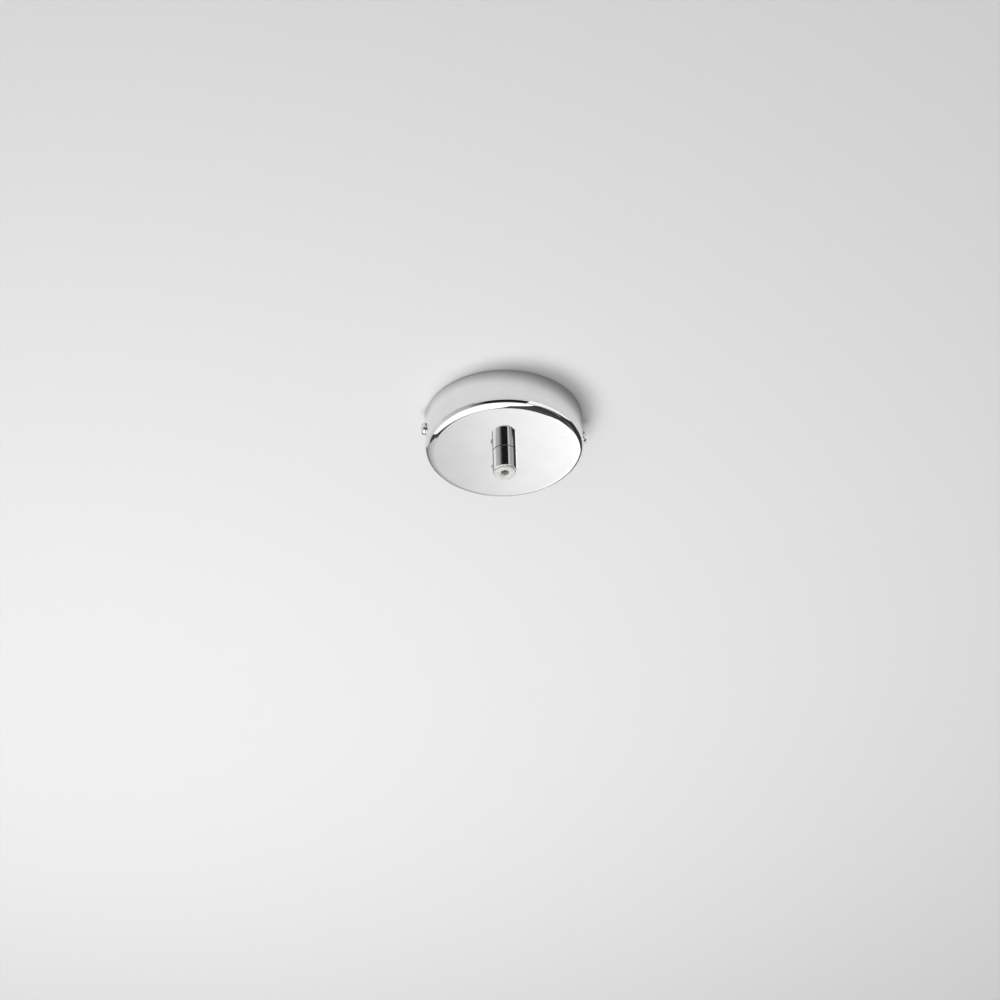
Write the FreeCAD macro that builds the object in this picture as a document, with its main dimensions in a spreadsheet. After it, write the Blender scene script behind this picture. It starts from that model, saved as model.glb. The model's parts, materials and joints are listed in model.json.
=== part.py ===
import FreeCAD, Part
import Sketcher
import os

# Ceiling rose: a drawn cup on a strap bracket, with a turned cord grip below it.
# Frame: the ceiling is z = 0 with +Z up, the side screws lie along X and the grip hangs on the Z axis.

doc = FreeCAD.newDocument("ceiling_rose")
dim = doc.addObject("Spreadsheet::Sheet", "dim")

# Driving dimensions in millimetres; radial clearances are per side
DIMENSIONS = [
    # Clearances
    ("thread_clearance", 0.05, "screw in its tapped hole"),
    ("hole_clearance", 0.25, "screw or tube in a plain hole"),
    ("fit_clearance", 0.03, "bush or insert in its seat"),
    ("head_gap", 0.1, "side screw head to the curved wall"),
    ("tip_gap", 0.4, "tip of an upright screw to the ceiling"),
    # Canopy
    ("canopy_diameter", 100, "outside of the cup"),
    ("canopy_height", 26.5, "ceiling to the lower face"),
    ("canopy_wall", 1, "sheet thickness"),
    ("canopy_edge_radius", 5.5, "outside radius of the lower edge"),
    ("rim_gap", 0.4, "ceiling to the upper rim"),
    ("side_screw_drop", 11.3, "ceiling to the side screws"),
    # Bracket
    ("strip_width", 20, "across the strap"),
    ("strip_thickness", 1.5, "sheet thickness"),
    ("bend_radius", 1, "inside the bends"),
    ("tab_clearance", 0.3, "tab corners to the cup"),
    ("tab_tail", 6, "side screw axis to the tab's end"),
    ("tab_corner_radius", 4, "lower corners of the tabs"),
    ("collar_wall", 1.2, "wall of a drawn collar round its thread"),
    ("collar_length", 1.6, "tab collars, inwards"),
    ("earth_collar_length", 2.5, "earth collar, downwards"),
    ("earth_offset", 15, "rose axis to the earth screw"),
    ("ceiling_slot_length", 12, "end to end"),
    ("ceiling_slot_width", 4.5, "across"),
    ("ceiling_slot_spacing", 66, "centre to centre"),
    # Pan-head screws of the cup and the earth terminal
    ("pan_diameter", 4, "thread"),
    ("pan_head_diameter", 8, "head"),
    ("pan_head_height", 2.4, "head"),
    ("pan_head_round", 1.8, "rounding of the head"),
    ("pan_recess_width", 1.1, "arm of the cross recess"),
    ("pan_recess_span", 4.4, "across the cross recess"),
    ("pan_recess_depth", 1.4, "cross recess"),
    ("side_screw_length", 8, "under the head"),
    # Nipple with its nut and washer
    ("nipple_diameter", 10, "thread"),
    ("nipple_bore", 7, "wire way"),
    ("nipple_standout", 2, "above the nut"),
    ("nipple_chamfer", 0.6, "both ends"),
    ("nipple_end_gap", 0.5, "to the floor of the sleeve's thread"),
    ("nut_width", 14, "across the flats"),
    ("nut_thickness", 3.5, "along the thread"),
    ("nut_chamfer_angle", 30, "degrees off the nut's faces"),
    ("washer_diameter", 18, "over the teeth"),
    ("washer_thickness", 0.9, "sheet"),
    ("washer_notch_width", 1.6, "between teeth"),
    ("washer_notch_depth", 2.2, "from the rim"),
    ("washer_teeth", 12, "count"),
    # Cord grip
    ("grip_diameter", 15.4, "sleeve outside"),
    ("grip_length", 15.7, "sleeve below the cup"),
    ("grip_edge_radius", 0.6, "sleeve's lower outside edge"),
    ("grip_thread_depth", 7, "for the nipple"),
    ("grip_bore", 7, "middle of the sleeve"),
    ("bush_diameter", 8.5, "plug in the sleeve"),
    ("bush_length", 2.8, "plug in the sleeve"),
    ("bush_bore", 5, "for the flex"),
    ("bush_nose_step", 0.75, "nose inside the sleeve's outline, per side"),
    ("bush_nose_length", 1.4, "below the sleeve"),
    ("bush_nose_radius", 1.15, "outside of the nose"),
    ("bush_mouth_radius", 1.9, "rounded lower mouth"),
    ("clamp_screw_diameter", 4, "thread"),
    ("clamp_screw_length", 5.4, "end to end"),
    ("clamp_screw_standout", 0.7, "outside the sleeve"),
    ("clamp_screw_drop", 10.3, "below the cup"),
    ("clamp_screw_angle", 155, "degrees about Z from +X"),
    ("clamp_screw_chamfer", 0.5, "both ends"),
    ("clamp_slot_width", 0.8, "driver slot"),
    ("clamp_slot_depth", 1, "driver slot"),
    # Terminal block
    ("block_offset", 16.5, "rose axis to the block"),
    ("block_height", 13.5, "below the strap"),
    ("pole_pitch", 10.5, "pole to pole"),
    ("pole_length", 17, "along the wires"),
    ("pole_width", 6.6, "across the wires"),
    ("pole_height", 9, "below the strap"),
    ("web_height", 5, "between the poles"),
    ("web_depth", 11, "along the wires"),
    ("insert_depth", 5, "strap to the wire axis"),
    ("insert_diameter", 4.2, "brass tube"),
    ("insert_bore", 2.8, "wire hole"),
    ("insert_length", 15, "brass tube"),
    ("terminal_spacing", 8.8, "screw to screw along a wire"),
    ("chimney_bore", 4.7, "round the terminal screws"),
    ("terminal_screw_diameter", 2.5, "thread"),
    ("terminal_screw_length", 4.8, "under the head"),
    ("terminal_screw_head_diameter", 4.2, "head"),
    ("terminal_screw_head_height", 1.8, "head"),
    ("terminal_screw_head_round", 0.4, "rounding of the head"),
    ("terminal_screw_slot_width", 0.8, "driver slot"),
    ("terminal_screw_slot_depth", 0.9, "driver slot"),
    ("block_screw_diameter", 2.5, "thread"),
    ("block_screw_head_diameter", 4.4, "head"),
    ("block_screw_head_height", 1.6, "head"),
    ("block_screw_head_round", 0.6, "rounding of the head"),
    ("block_screw_slot_width", 0.7, "driver slot"),
    ("block_screw_slot_depth", 0.8, "driver slot"),
    # Earth terminal
    ("earth_washer_diameter", 9, "outside of the cup washer"),
    ("earth_washer_thickness", 0.8, "flat of the cup washer"),
    ("earth_washer_lip", 0.8, "lip above the flat"),
]
for row, (alias, number, meaning) in enumerate(DIMENSIONS, 1):
    dim.set(f"A{row}", alias)
    dim.set(f"B{row}", str(number))
    dim.set(f"C{row}", meaning)
    dim.setAlias(f"B{row}", alias)
doc.recompute()

# Sketcher's numbers for the root point, a line's ends and a circle's centre
ROOT, START, END, CENTRE = -1, 1, 2, 3

# Levels and radii that several pieces share, as expressions on the sheet
LOWER_FACE = "(-dim.canopy_height)"
INNER_FACE = "(dim.canopy_wall - dim.canopy_height)"
CANOPY_INSIDE = "(dim.canopy_diameter / 2 - dim.canopy_wall)"
TAB_FACE = f"sqrt(({CANOPY_INSIDE} - dim.tab_clearance)^2 - (dim.strip_width / 2)^2)"
PAN_TAPPED = "(dim.pan_diameter + 2 * dim.thread_clearance)"
COLLAR_OUTSIDE = f"({PAN_TAPPED} + 2 * dim.collar_wall)"
NIPPLE_TAPPED = "(dim.nipple_diameter + 2 * dim.thread_clearance)"
NIPPLE_HOLE = "(dim.nipple_diameter + 2 * dim.hole_clearance)"
TERMINAL_TAPPED = "(dim.terminal_screw_diameter + 2 * dim.thread_clearance)"
EARTH_SEAT = "(-dim.strip_thickness - dim.earth_collar_length)"


def value(expression):
    """Work out an expression on the sheet as a number."""
    result = dim.evalExpression(expression)
    return float(getattr(result, "Value", result))


def drive(sketch, constraint, expression):
    """Add a constraint and bind its size to an expression on the sheet."""
    sketch.setExpression(f"Constraints[{sketch.addConstraint(constraint)}]", expression)


def pin(sketch, geometry, point, x, y):
    """Tie a sketch point to the root point by two driven distances."""
    for kind, size in (("DistanceX", x), ("DistanceY", y)):
        drive(sketch, Sketcher.Constraint(kind, ROOT, START, geometry, point, value(size)), size)


def outline(sketch, corners):
    """Draw a closed outline of straight lines through corners given as pairs of expressions."""
    points = [FreeCAD.Vector(value(x), value(y), 0) for x, y in corners]
    first = sketch.GeometryCount
    following = [first + (index + 1) % len(points) for index in range(len(points))]
    for index, point in enumerate(points):
        sketch.addGeometry(Part.LineSegment(point, points[following[index] - first]))
    for index, after in enumerate(following):
        sketch.addConstraint(Sketcher.Constraint("Coincident", first + index, END, after, START))
    for index, (x, y) in enumerate(corners):
        pin(sketch, first + index, START, x, y)


def rectangle(sketch, x, y, width, height):
    """Draw a rectangle about the centre x, y."""
    left, right = f"{x} - ({width}) / 2", f"{x} + ({width}) / 2"
    low, high = f"{y} - ({height}) / 2", f"{y} + ({height}) / 2"
    outline(sketch, [(left, low), (right, low), (right, high), (left, high)])


def circle(sketch, x, y, diameter):
    """Draw a circle of a driven diameter about x, y."""
    centre = FreeCAD.Vector(value(x), value(y), 0)
    round_line = Part.Circle(centre, FreeCAD.Vector(0, 0, 1), value(diameter) / 2)
    number = sketch.addGeometry(round_line)
    pin(sketch, number, CENTRE, x, y)
    drive(sketch, Sketcher.Constraint("Diameter", number, value(diameter)), diameter)


def slot(sketch, x, length, width):
    """Draw a slot along the sketch's X axis: two half rounds joined by tangent lines."""
    half = f"({length} - {width}) / 2"
    radius = value(width) / 2
    up = FreeCAD.Vector(0, radius, 0)
    left = FreeCAD.Vector(value(f"{x} - {half}"), 0, 0)
    right = FreeCAD.Vector(value(f"{x} + {half}"), 0, 0)
    reach = FreeCAD.Vector(radius, 0, 0)
    left_arc = sketch.addGeometry(Part.Arc(left + up, left - reach, left - up))
    low_line = sketch.addGeometry(Part.LineSegment(left - up, right - up))
    right_arc = sketch.addGeometry(Part.Arc(right - up, right + reach, right + up))
    high_line = sketch.addGeometry(Part.LineSegment(right + up, left + up))
    for one, one_end, two, two_end in (
        (left_arc, END, low_line, START),
        (low_line, END, right_arc, START),
        (right_arc, END, high_line, START),
        (high_line, END, left_arc, START),
    ):
        sketch.addConstraint(Sketcher.Constraint("Tangent", one, one_end, two, two_end))
    for arc, centre in ((left_arc, f"{x} - {half}"), (right_arc, f"{x} + {half}")):
        pin(sketch, arc, CENTRE, centre, "0")
    drive(sketch, Sketcher.Constraint("Diameter", left_arc, value(width)), width)


def new_body(label):
    """Start a piece."""
    body = doc.addObject("PartDesign::Body", label)
    body.Label = label
    return body


def new_sketch(body, role, name, lift="0"):
    """Add a sketch on one of the body's own planes, lifted off it along its normal."""
    sketch = body.newObject("Sketcher::SketchObject", name)
    plane = next(item for item in body.Origin.OriginFeatures if item.Role == role)
    sketch.AttachmentSupport = (plane, [""])
    sketch.MapMode = "FlatFace"
    sketch.setExpression("AttachmentOffset.Base.z", lift)
    return sketch


def revolve(body, sketch, name, kind="PartDesign::Revolution"):
    """Turn a sketch about its vertical axis, as stock or as a groove."""
    feature = body.newObject(kind, name)
    feature.Profile = sketch
    feature.ReferenceAxis = (sketch, ["V_Axis"])
    doc.recompute()
    return feature


def extrude(body, sketch, kind, name, length=None, both_ways=False, along_normal=True):
    """Pad or pocket a sketch to a driven length, or cut right through both ways."""
    feature = body.newObject(f"PartDesign::{kind}", name)
    feature.Profile = sketch
    if length is None:
        feature.Type = "ThroughAll"
    else:
        feature.setExpression("Length", length)
    if both_ways:
        feature.SideType = "Symmetric"
    feature.Reversed = along_normal == (kind == "Pocket")
    before = body.Shape.Volume if body.Tip and not body.Shape.isNull() else 0
    doc.recompute()
    gained = feature.Shape.Volume > before
    if gained != (kind == "Pad"):
        raise RuntimeError(f"{name} points away from its solid")
    return feature


def soften(body, name, size, chosen, kind="Fillet"):
    """Round or chamfer those edges of a body that a test picks out."""
    base = body.Tip
    edges = [f"Edge{number}" for number, edge in enumerate(base.Shape.Edges, 1) if chosen(edge)]
    if not edges:
        raise RuntimeError(f"{name} finds no edge")
    feature = body.newObject(f"PartDesign::{kind}", name)
    feature.Base = (base, edges)
    feature.setExpression("Radius" if kind == "Fillet" else "Size", size)
    doc.recompute()
    return feature


def near(one, two):
    """Say whether two lengths agree."""
    return abs(one - two) < 1e-4


def ring_at(diameter, level):
    """Make a test for the round edges of one diameter at one level."""
    radius, height = value(diameter) / 2, value(level)

    def chosen(edge):
        if not isinstance(edge.Curve, Part.Circle):
            return False
        return near(edge.Curve.Radius, radius) and near(edge.Curve.Center.z, height)

    return chosen


def straight_at(**places):
    """Make a test for straight edges whose middle lies at the stated distances from the planes."""
    wanted = {axis: value(size) for axis, size in places.items()}

    def chosen(edge):
        if not isinstance(edge.Curve, (Part.Line, Part.LineSegment)):
            return False
        middle = edge.CenterOfMass
        return all(near(abs(getattr(middle, axis)), abs(size)) for axis, size in wanted.items())

    return chosen


def place(body, x, y, z, axis="0; 0; 1", angle="0"):
    """Set a body's place and turn from expressions."""
    body.setExpression("Placement", f"placement(vector({x}; {y}; {z}); rotation(vector({axis}); {angle}))")


def turned(label, corners):
    """Turn a piece from its section, given as radius and height."""
    body = new_body(label)
    section = new_sketch(body, "XZ_Plane", f"{label}_section")
    outline(section, corners)
    revolve(body, section, f"{label}_turning")
    return body


def headed_screw(label, size, length, cross):
    """Make a screw that hangs from its head's seat at z = 0, with a cross recess or a driver slot."""
    shank = f"dim.{size}_diameter / 2"
    rim = f"dim.{size}_head_diameter / 2"
    top = f"dim.{size}_head_height"
    tip = f"-({length})"
    body = turned(label, [("0", tip), (shank, tip), (shank, "0"), (rim, "0"), (rim, top), ("0", top)])
    soften(body, f"{label}_crown", f"dim.{size}_head_round", ring_at(f"dim.{size}_head_diameter", top))
    recess = new_sketch(body, "XY_Plane", f"{label}_recess", top)
    if cross:
        arm, span = f"dim.{size}_recess_width / 2", f"dim.{size}_recess_span / 2"
        quarter = [(span, arm), (arm, arm), (arm, span)]
        corners = []
        for across, along in (("", ""), ("-", ""), ("-", "-"), ("", "-")):
            turn = [(f"{across}{x}", f"{along}{y}") for x, y in quarter]
            corners += turn if across == along else turn[::-1]
        outline(recess, corners)
        extrude(body, recess, "Pocket", f"{label}_cross", f"dim.{size}_recess_depth", along_normal=False)
    else:
        rectangle(recess, "0", "0", f"2 * dim.{size}_head_diameter", f"dim.{size}_slot_width")
        extrude(body, recess, "Pocket", f"{label}_slot", f"dim.{size}_slot_depth", along_normal=False)
    return body


def make_canopy():
    """Draw the cup: a solid blank, rounded below, shelled from its open top and pierced."""
    body = turned("canopy", [
        ("0", LOWER_FACE),
        ("dim.canopy_diameter / 2", LOWER_FACE),
        ("dim.canopy_diameter / 2", "-dim.rim_gap"),
        ("0", "-dim.rim_gap"),
    ])
    soften(body, "canopy_edge", "dim.canopy_edge_radius", ring_at("dim.canopy_diameter", LOWER_FACE))
    blank = body.Tip
    mouth = [
        f"Face{number}" for number, face in enumerate(blank.Shape.Faces, 1)
        if near(face.CenterOfMass.z, value("-dim.rim_gap"))
    ]
    shell = body.newObject("PartDesign::Thickness", "canopy_shell")
    shell.Base = (blank, mouth)
    shell.setExpression("Value", "dim.canopy_wall")
    shell.Reversed = True
    doc.recompute()
    middle = new_sketch(body, "XY_Plane", "canopy_middle", LOWER_FACE)
    circle(middle, "0", "0", NIPPLE_HOLE)
    extrude(body, middle, "Pocket", "canopy_middle_hole", both_ways=True)
    side = new_sketch(body, "YZ_Plane", "canopy_side")
    circle(side, "0", "-dim.side_screw_drop", "dim.pan_diameter + 2 * dim.hole_clearance")
    extrude(body, side, "Pocket", "canopy_side_holes", both_ways=True)
    return body


def make_bracket():
    """Fold the strap, draw its tapped collars and cut its slots."""
    body = new_body("mounting_bracket")
    end = "(-dim.side_screw_drop - dim.tab_tail)"
    inner_face = f"({TAB_FACE} - dim.strip_thickness)"
    fold = new_sketch(body, "XZ_Plane", "bracket_fold")
    right = [(TAB_FACE, "0"), (TAB_FACE, end), (inner_face, end), (inner_face, "-dim.strip_thickness")]
    outline(fold, right + [(f"-{x}", z) for x, z in right[::-1]])
    extrude(body, fold, "Pad", "bracket_strip", "dim.strip_width", both_ways=True)
    soften(body, "bracket_outer_bends", "dim.bend_radius + dim.strip_thickness",
           straight_at(x=TAB_FACE, y="0", z="0"))
    soften(body, "bracket_inner_bends", "dim.bend_radius",
           straight_at(x=inner_face, y="0", z="dim.strip_thickness"))
    soften(body, "bracket_tab_corners", "dim.tab_corner_radius",
           straight_at(x=f"{TAB_FACE} - dim.strip_thickness / 2", y="dim.strip_width / 2", z=end))

    # A collar drawn inwards round each side screw, and one drawn down round the earth screw
    for side, sign in (("right", ""), ("left", "-")):
        collar = new_sketch(body, "YZ_Plane", f"bracket_{side}_collar", f"{sign}{inner_face}")
        circle(collar, "0", "-dim.side_screw_drop", COLLAR_OUTSIDE)
        extrude(body, collar, "Pad", f"bracket_{side}_collar_draw", "dim.collar_length",
                along_normal=side == "left")
    collar = new_sketch(body, "XY_Plane", "bracket_earth_collar", "-dim.strip_thickness")
    circle(collar, "-dim.earth_offset", "0", COLLAR_OUTSIDE)
    extrude(body, collar, "Pad", "bracket_earth_collar_draw", "dim.earth_collar_length", along_normal=False)

    threads = new_sketch(body, "YZ_Plane", "bracket_side_threads")
    circle(threads, "0", "-dim.side_screw_drop", PAN_TAPPED)
    extrude(body, threads, "Pocket", "bracket_side_tapping", both_ways=True)
    holes = new_sketch(body, "XY_Plane", "bracket_holes")
    circle(holes, "-dim.earth_offset", "0", PAN_TAPPED)
    for sign in ("-", ""):
        circle(holes, "dim.block_offset", f"{sign}dim.pole_pitch / 2",
               "dim.block_screw_diameter + 2 * dim.thread_clearance")
        slot(holes, f"{sign}dim.ceiling_slot_spacing / 2",
             "dim.ceiling_slot_length", "dim.ceiling_slot_width")
    extrude(body, holes, "Pocket", "bracket_piercing", both_ways=True)
    return body


def make_side_screws():
    """Make the two screws that hold the cup to the bracket's tabs."""
    screws = []
    for side, sign in (("left", "-"), ("right", "")):
        body = headed_screw(f"side_screw_{side}", "pan", "dim.side_screw_length", cross=True)
        place(body, f"{sign}(dim.canopy_diameter / 2 + dim.head_gap)", "0", "-dim.side_screw_drop",
              "0; 1; 0", f"{sign}90")
        screws.append(body)
    return screws


def make_grip_sleeve():
    """Turn the sleeve: threaded above for the nipple, bored, and counterbored below for the bush."""
    thread, bore = f"{NIPPLE_TAPPED} / 2", "dim.grip_bore / 2"
    seat = "(dim.bush_diameter / 2 + dim.fit_clearance)"
    outside = "dim.grip_diameter / 2"
    end = "-dim.grip_length"
    body = turned("cord_grip_sleeve", [
        (thread, "0"),
        (outside, "0"),
        (outside, end),
        (seat, end),
        (seat, f"{end} + dim.bush_length"),
        (bore, f"{end} + dim.bush_length"),
        (bore, "-dim.grip_thread_depth"),
        (thread, "-dim.grip_thread_depth"),
    ])
    soften(body, "sleeve_edge", "dim.grip_edge_radius", ring_at("dim.grip_diameter", end))
    side = new_sketch(body, "YZ_Plane", "sleeve_side")
    circle(side, "0", "-dim.clamp_screw_drop", "dim.clamp_screw_diameter + 2 * dim.thread_clearance")
    extrude(body, side, "Pocket", "sleeve_side_hole", outside)
    place(body, "0", "0", LOWER_FACE, angle="dim.clamp_screw_angle")
    return body


def make_bush():
    """Turn the insulating bush: a plug in the sleeve and a rounded nose below it for the flex."""
    bore, plug = "dim.bush_bore / 2", "dim.bush_diameter / 2"
    nose = "(dim.grip_diameter / 2 - dim.bush_nose_step)"
    top, low = "dim.bush_length", "-dim.bush_nose_length"
    body = turned("cord_bush", [
        (bore, low), (nose, low), (nose, "0"), (plug, "0"), (plug, top), (bore, top),
    ])
    soften(body, "bush_nose_edge", "dim.bush_nose_radius", ring_at(f"2 * {nose}", low))
    soften(body, "bush_mouth", "dim.bush_mouth_radius", ring_at("dim.bush_bore", low))
    place(body, "0", "0", f"{LOWER_FACE} - dim.grip_length")
    return body


def make_clamp_screw():
    """Turn the headless screw whose tip grips the flex, with its driver slot outside."""
    rim = "dim.clamp_screw_diameter / 2"
    tip = "-dim.clamp_screw_length"
    body = turned("clamp_screw", [("0", tip), (rim, tip), (rim, "0"), ("0", "0")])
    for end in ("0", tip):
        soften(body, "clamp_screw_bevel", "dim.clamp_screw_chamfer",
               ring_at("dim.clamp_screw_diameter", end), "Chamfer")
    recess = new_sketch(body, "XY_Plane", "clamp_screw_recess")
    rectangle(recess, "0", "0", "2 * dim.clamp_screw_diameter", "dim.clamp_slot_width")
    extrude(body, recess, "Pocket", "clamp_screw_slot", "dim.clamp_slot_depth", along_normal=False)
    angle = "dim.clamp_screw_angle * 1 deg"
    reach = "(dim.grip_diameter / 2 + dim.clamp_screw_standout)"
    place(body, f"{reach} * cos({angle})", f"{reach} * sin({angle})",
          f"{LOWER_FACE} - dim.clamp_screw_drop", f"-sin({angle}); cos({angle}); 0", "90")
    return body


def make_nipple():
    """Turn the hollow threaded tube that joins the sleeve to the cup."""
    bore, rim = "dim.nipple_bore / 2", "dim.nipple_diameter / 2"
    low = f"({LOWER_FACE} - dim.grip_thread_depth + dim.nipple_end_gap)"
    high = f"({INNER_FACE} + dim.washer_thickness + dim.nut_thickness + dim.nipple_standout)"
    body = turned("threaded_nipple", [(bore, low), (rim, low), (rim, high), (bore, high)])
    for end in (low, high):
        soften(body, "nipple_bevel", "dim.nipple_chamfer", ring_at("dim.nipple_diameter", end), "Chamfer")
    return body


def make_lock_nut():
    """Make the hexagon nut, with its corners turned off at both faces."""
    body = new_body("lock_nut")
    blank = new_sketch(body, "XY_Plane", "nut_blank")
    corner = "dim.nut_width / sqrt(3)"
    outline(blank, [(f"{corner} * cos({60 * turn} deg)", f"{corner} * sin({60 * turn} deg)")
                    for turn in range(6)])
    extrude(body, blank, "Pad", "nut_hexagon", "dim.nut_thickness")
    bevel = new_sketch(body, "XZ_Plane", "nut_bevel")
    flat = "dim.nut_width / 2"
    drop = f"(dim.nut_width - {flat}) * tan(dim.nut_chamfer_angle * 1 deg)"
    outline(bevel, [(flat, "0"), ("dim.nut_width", "0"), ("dim.nut_width", drop)])
    outline(bevel, [
        (flat, "dim.nut_thickness"),
        ("dim.nut_width", f"dim.nut_thickness - {drop}"),
        ("dim.nut_width", "dim.nut_thickness"),
    ])
    revolve(body, bevel, "nut_corners", "PartDesign::Groove")
    thread = new_sketch(body, "XY_Plane", "nut_thread")
    circle(thread, "0", "0", NIPPLE_TAPPED)
    extrude(body, thread, "Pocket", "nut_tapping", "dim.nut_thickness")
    place(body, "0", "0", f"{INNER_FACE} + dim.washer_thickness")
    return body


def make_lock_washer():
    """Stamp the toothed washer: a ring with notches round its rim."""
    body = new_body("lock_washer")
    ring = new_sketch(body, "XY_Plane", "washer_ring")
    circle(ring, "0", "0", "dim.washer_diameter")
    circle(ring, "0", "0", NIPPLE_HOLE)
    extrude(body, ring, "Pad", "washer_blank", "dim.washer_thickness")
    notch = new_sketch(body, "XY_Plane", "washer_notch")
    rectangle(notch, "dim.washer_diameter / 2", "0", "2 * dim.washer_notch_depth", "dim.washer_notch_width")
    cut = extrude(body, notch, "Pocket", "washer_first_notch", "dim.washer_thickness")
    teeth = body.newObject("PartDesign::PolarPattern", "washer_notches")
    teeth.Originals = [cut]
    teeth.Axis = (notch, ["N_Axis"])
    teeth.Angle = 360
    teeth.setExpression("Occurrences", "dim.washer_teeth")
    body.Tip = teeth
    place(body, "0", "0", INNER_FACE)
    return body


def make_terminal_housing():
    """Mould the three-pole housing: webs, poles with two chimneys each, and their bores."""
    body = new_body("terminal_block_housing")
    first = "-dim.pole_pitch"
    underside = "-dim.block_height"
    web = new_sketch(body, "XY_Plane", "housing_web")
    rectangle(web, "0", "0", "dim.web_depth", "2 * dim.pole_pitch + dim.pole_width")
    extrude(body, web, "Pad", "housing_web_moulding", "dim.web_height", along_normal=False)

    pole = new_sketch(body, "XY_Plane", "housing_pole")
    rectangle(pole, "0", first, "dim.pole_length", "dim.pole_width")
    pole_pad = extrude(body, pole, "Pad", "housing_pole_moulding", "dim.pole_height", along_normal=False)
    chimney = new_sketch(body, "XY_Plane", "housing_chimney")
    bores = new_sketch(body, "XY_Plane", "housing_bores", underside)
    for sign in ("-", ""):
        circle(chimney, f"{sign}dim.terminal_spacing / 2", first, "dim.pole_width")
        circle(bores, f"{sign}dim.terminal_spacing / 2", first, "dim.chimney_bore")
    chimney_pad = extrude(body, chimney, "Pad", "housing_chimney_moulding", "dim.block_height",
                          along_normal=False)
    tunnel = new_sketch(body, "YZ_Plane", "housing_tunnel")
    circle(tunnel, first, "-dim.insert_depth", "dim.insert_diameter + 2 * dim.fit_clearance")
    tunnel_cut = extrude(body, tunnel, "Pocket", "housing_wire_tunnel", both_ways=True)
    bore_cut = extrude(body, bores, "Pocket", "housing_screw_bores", "dim.block_height - dim.insert_depth")
    poles = body.newObject("PartDesign::LinearPattern", "housing_poles")
    poles.Originals = [pole_pad, chimney_pad, tunnel_cut, bore_cut]
    poles.Direction = (web, ["V_Axis"])
    poles.setExpression("Length", "2 * dim.pole_pitch")
    poles.Occurrences = 3
    body.Tip = poles
    doc.recompute()

    fixing = new_sketch(body, "XY_Plane", "housing_fixing")
    recess = new_sketch(body, "XY_Plane", "housing_recess", "-dim.web_height")
    for sign in ("-", ""):
        across = f"{sign}dim.pole_pitch / 2"
        circle(fixing, "0", across, "dim.block_screw_diameter + 2 * dim.hole_clearance")
        circle(recess, "0", across, "dim.block_screw_head_diameter + 2 * dim.hole_clearance")
    extrude(body, fixing, "Pocket", "housing_fixing_holes", "dim.block_height", along_normal=False)
    extrude(body, recess, "Pocket", "housing_head_recesses", "dim.block_height", along_normal=False)
    place(body, "dim.block_offset", "0", "-dim.strip_thickness")
    return body


def make_terminals():
    """Make the brass tubes and their two clamping screws, pole by pole."""
    pieces = []
    for pole in range(3):
        across = f"{pole - 1} * dim.pole_pitch"
        insert = new_body(f"terminal_insert_{pole + 1}")
        tube = new_sketch(insert, "YZ_Plane", f"insert_{pole + 1}_tube")
        circle(tube, "0", "0", "dim.insert_diameter")
        circle(tube, "0", "0", "dim.insert_bore")
        extrude(insert, tube, "Pad", f"insert_{pole + 1}_bar", "dim.insert_length", both_ways=True)
        threads = new_sketch(insert, "XY_Plane", f"insert_{pole + 1}_threads")
        for sign in ("-", ""):
            circle(threads, f"{sign}dim.terminal_spacing / 2", "0", TERMINAL_TAPPED)
        extrude(insert, threads, "Pocket", f"insert_{pole + 1}_tapping", "dim.insert_diameter",
                along_normal=False)
        place(insert, "dim.block_offset", across, "-dim.strip_thickness - dim.insert_depth")
        pieces.append(insert)
        tip = "-dim.strip_thickness - dim.insert_depth - dim.insert_bore / 2"
        for end, sign in (("supply", "+"), ("lamp", "-")):
            screw = headed_screw(f"terminal_screw_{pole + 1}_{end}", "terminal_screw",
                                 "dim.terminal_screw_length", cross=False)
            place(screw, f"dim.block_offset {sign} dim.terminal_spacing / 2", across,
                  f"{tip} - dim.terminal_screw_length", "1; 0; 0", "180")
            pieces.append(screw)
    return pieces


def make_block_screws():
    """Make the two screws that hold the housing up against the strap."""
    screws = []
    for side, sign in (("front", "-"), ("back", "")):
        body = headed_screw(f"block_screw_{side}", "block_screw",
                            "dim.web_height + dim.strip_thickness - dim.tip_gap", cross=False)
        place(body, "dim.block_offset", f"{sign}dim.pole_pitch / 2",
              "-dim.strip_thickness - dim.web_height", "1; 0; 0", "180")
        screws.append(body)
    return screws


def make_earth_terminal():
    """Make the earth screw and the cup washer that holds its wire round the collar."""
    screw = headed_screw(
        "earth_screw", "pan",
        f"dim.earth_washer_thickness - {EARTH_SEAT} - dim.tip_gap", cross=True)
    place(screw, "-dim.earth_offset", "0", f"{EARTH_SEAT} - dim.earth_washer_thickness", "1; 0; 0", "180")
    hole = "dim.pan_diameter / 2 + dim.hole_clearance"
    cup = f"{COLLAR_OUTSIDE} / 2 + dim.hole_clearance"
    rim = "dim.earth_washer_diameter / 2"
    washer = turned("earth_washer", [
        (hole, "-dim.earth_washer_thickness"),
        (rim, "-dim.earth_washer_thickness"),
        (rim, "dim.earth_washer_lip"),
        (cup, "dim.earth_washer_lip"),
        (cup, "0"),
        (hole, "0"),
    ])
    place(washer, "-dim.earth_offset", "0", EARTH_SEAT)
    return [screw, washer]


pieces = [
    make_canopy(),
    make_bracket(),
    *make_side_screws(),
    make_grip_sleeve(),
    make_bush(),
    make_clamp_screw(),
    make_nipple(),
    make_lock_nut(),
    make_lock_washer(),
    make_terminal_housing(),
    *make_terminals(),
    *make_block_screws(),
    *make_earth_terminal(),
]
doc.recompute()

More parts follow.
